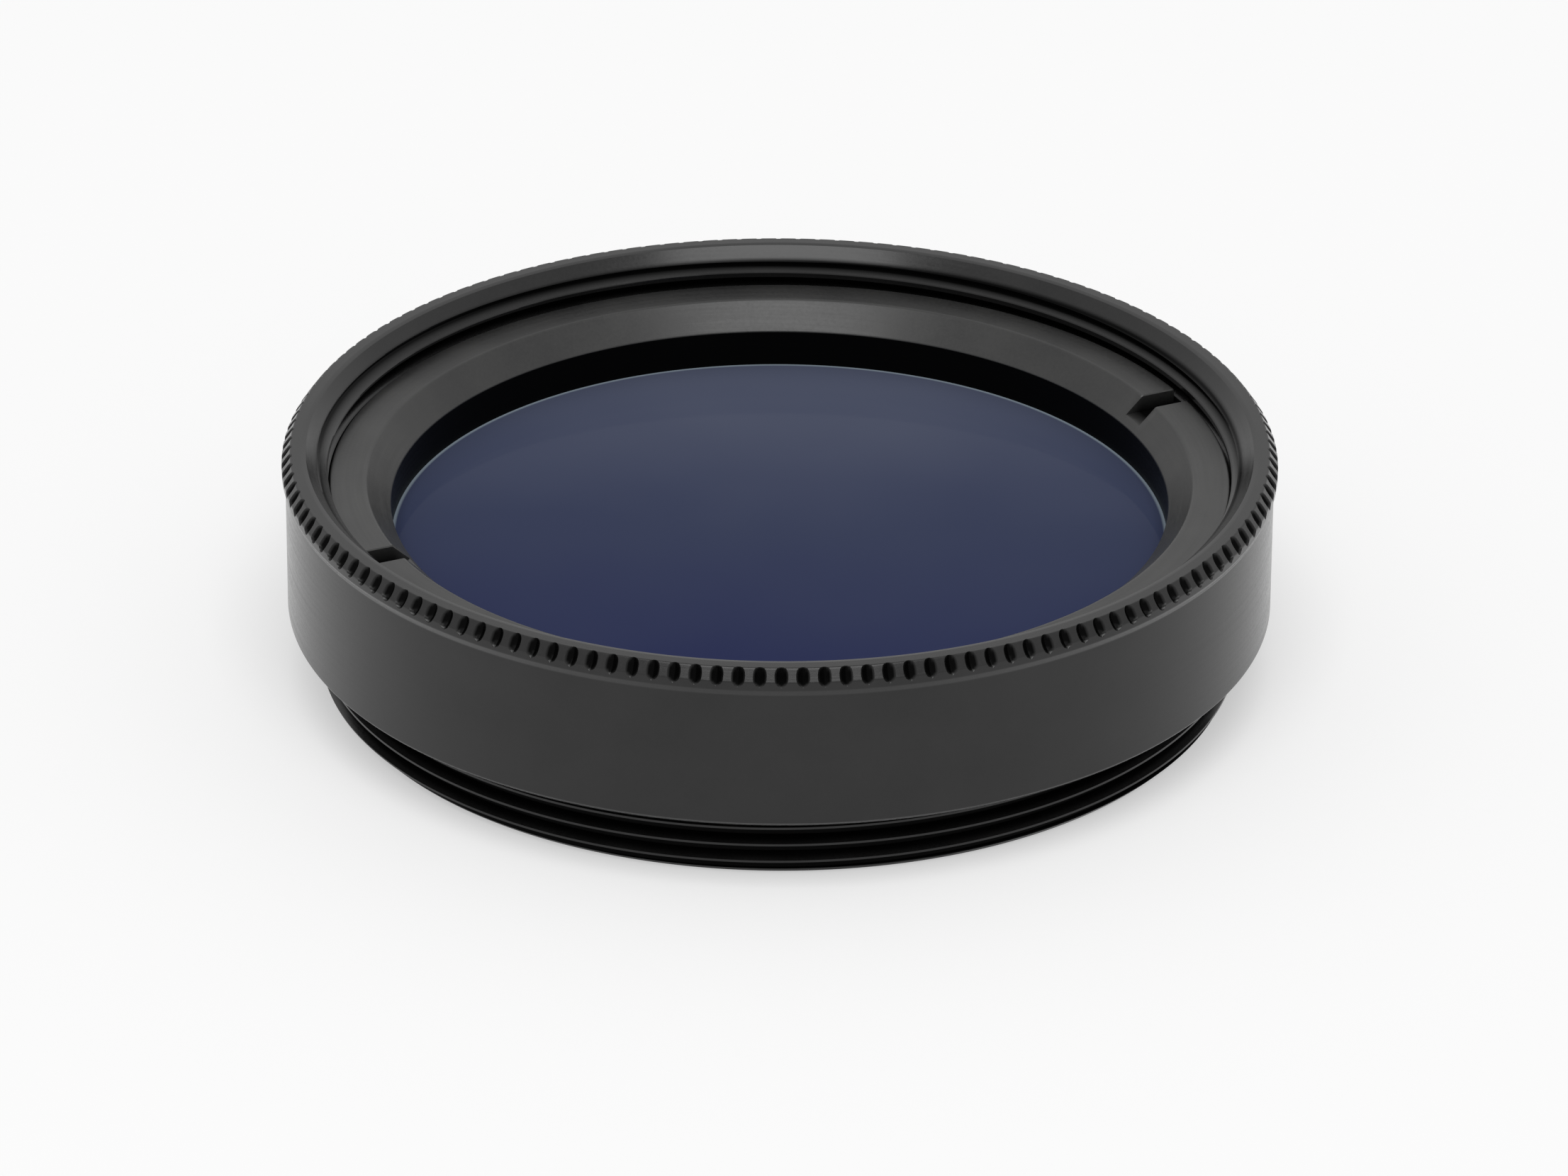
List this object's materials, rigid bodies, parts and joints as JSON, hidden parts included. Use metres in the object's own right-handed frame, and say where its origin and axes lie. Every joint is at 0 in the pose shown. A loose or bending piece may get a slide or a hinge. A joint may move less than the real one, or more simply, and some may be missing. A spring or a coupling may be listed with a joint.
{
  "type": "optical bandpass filter",
  "caption": "Round coated glass filter in a black threaded ring mount with a serrated rim, held by a slotted retaining ring.",
  "frame": {"origin": "centre of the foot, the flat end of the male thread, on the optical axis", "axes": "+Z along the optical axis, out of the front that carries the serrated rim and the female thread"},
  "size_m": [0.0274, 0.0274, 0.0067],
  "materials": {
    "anodised_mount": "satin black anodised, fine turning marks",
    "coated_glass": "polished, blue and violet interference coating",
    "anodised_ring": "satin black anodised, fine turning marks"
  },
  "bodies": {
    "root": {"mount_ring": "anodised_mount", "filter_glass": "coated_glass", "retaining_ring": "anodised_ring"}
  },
  "joints": []
}
